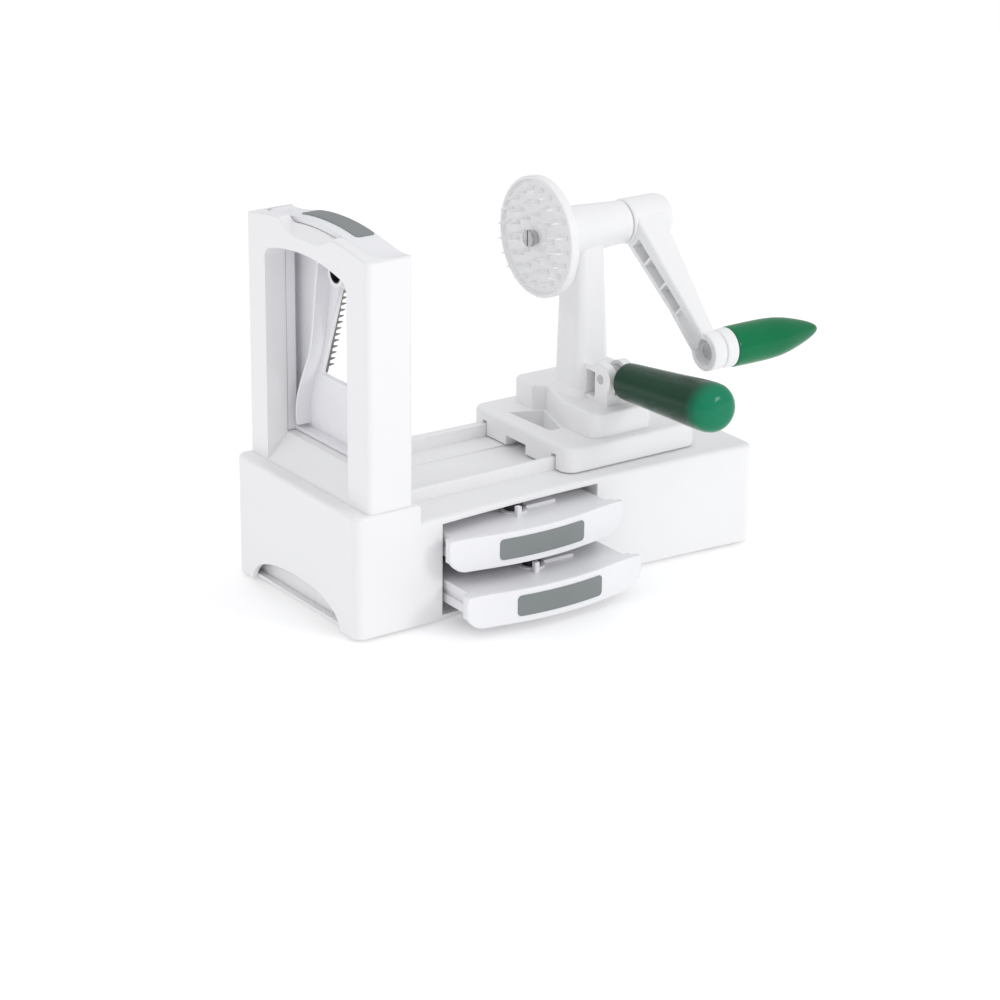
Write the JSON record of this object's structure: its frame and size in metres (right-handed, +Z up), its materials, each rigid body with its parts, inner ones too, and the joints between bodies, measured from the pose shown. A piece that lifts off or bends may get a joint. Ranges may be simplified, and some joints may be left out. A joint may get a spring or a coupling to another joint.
{
  "type": "hand cranked spiralizer",
  "caption": "Hand-cranked vegetable spiralizer: sliding carriage with crank, pronged food holder and push handle facing an upright blade tower, with spare blade cartridges in slots in the base.",
  "frame": {"origin": "centre of the base's outline on the surface that the feet stand on", "axes": "+X from the blade tower towards the crank, along the slide; +Z up; the stored cartridges and the push handle face -Y"},
  "size_m": [0.33, 0.1969, 0.231],
  "materials": {
    "white_plastic": "satin moulded",
    "frost_plastic": "slightly milky moulded",
    "green_plastic": "smooth gloss",
    "grey_label": "flat",
    "blade_steel": "ground",
    "polished_steel": "turned",
    "screw_steel": "plated",
    "bearing_plastic": "natural",
    "black_plastic": "matte",
    "foot_rubber": "matte"
  },
  "bodies": {
    "base": {"base_housing": "white_plastic", "bottom_cover": "white_plastic", "cover_screws": "screw_steel", "suction_feet": "foot_rubber", "slot_guides": "white_plastic", "tower_frame": "white_plastic", "tower_screws": "screw_steel"},
    "carriage": {"carriage_sled": "white_plastic", "carriage_column": "white_plastic", "column_screws": "screw_steel", "shaft_bushings": "bearing_plastic", "glide_pads": "bearing_plastic", "handle_pin": "screw_steel"},
    "crank": {"crank_shaft": "polished_steel", "food_holder": "white_plastic", "holder_spikes": "white_plastic", "holder_screw": "screw_steel", "crank_arm": "white_plastic", "arm_cap": "white_plastic", "knob_axle": "screw_steel", "axle_clip": "screw_steel"},
    "crank_knob": {"knob_grip": "green_plastic", "knob_collar": "white_plastic", "knob_sleeve": "bearing_plastic"},
    "push_handle": {"handle_grip": "green_plastic", "handle_rod": "screw_steel"},
    "cartridge_fine": {"cartridge_fine_frame": "frost_plastic", "cartridge_fine_label": "grey_label", "cartridge_fine_blade": "blade_steel", "cartridge_fine_corer": "black_plastic", "cartridge_fine_rivets": "screw_steel", "cartridge_fine_strip": "blade_steel"},
    "cartridge_ribbon": {"cartridge_ribbon_frame": "frost_plastic", "cartridge_ribbon_label": "grey_label", "cartridge_ribbon_blade": "blade_steel", "cartridge_ribbon_corer": "black_plastic", "cartridge_ribbon_rivets": "screw_steel"},
    "cartridge_thick": {"cartridge_thick_frame": "frost_plastic", "cartridge_thick_label": "grey_label", "cartridge_thick_blade": "blade_steel", "cartridge_thick_corer": "black_plastic", "cartridge_thick_rivets": "screw_steel", "cartridge_thick_strip": "blade_steel"}
  },
  "joints": [
    {"name": "carriage_slide", "type": "slide", "parent": "base", "child": "carriage", "axis": [1, 0, 0], "range_m": [-0.108, 0.015]},
    {"name": "crank_spin", "type": "hinge", "parent": "carriage", "child": "crank", "pos_m": [0.06, 0, 0.195], "axis": [1, 0, 0], "continuous": true},
    {"name": "knob_spin", "type": "hinge", "parent": "crank", "child": "crank_knob", "pos_m": [0.13, -0.0639, 0.1284], "axis": [1, 0, 0], "continuous": true},
    {"name": "handle_fold", "type": "hinge", "parent": "carriage", "child": "push_handle", "pos_m": [0.062, -0.0285, 0.1105], "axis": [-1, 0, 0], "range_deg": [0, 75]},
    {"name": "fine_cartridge_lift", "type": "slide", "parent": "base", "child": "cartridge_fine", "axis": [0, 0, 1], "range_m": [0, 0.125]},
    {"name": "ribbon_cartridge_pull", "type": "slide", "parent": "base", "child": "cartridge_ribbon", "axis": [0, -1, 0], "range_m": [-0.005, 0.12]},
    {"name": "thick_cartridge_pull", "type": "slide", "parent": "base", "child": "cartridge_thick", "axis": [0, -1, 0], "range_m": [-0.0225, 0.102]}
  ]
}
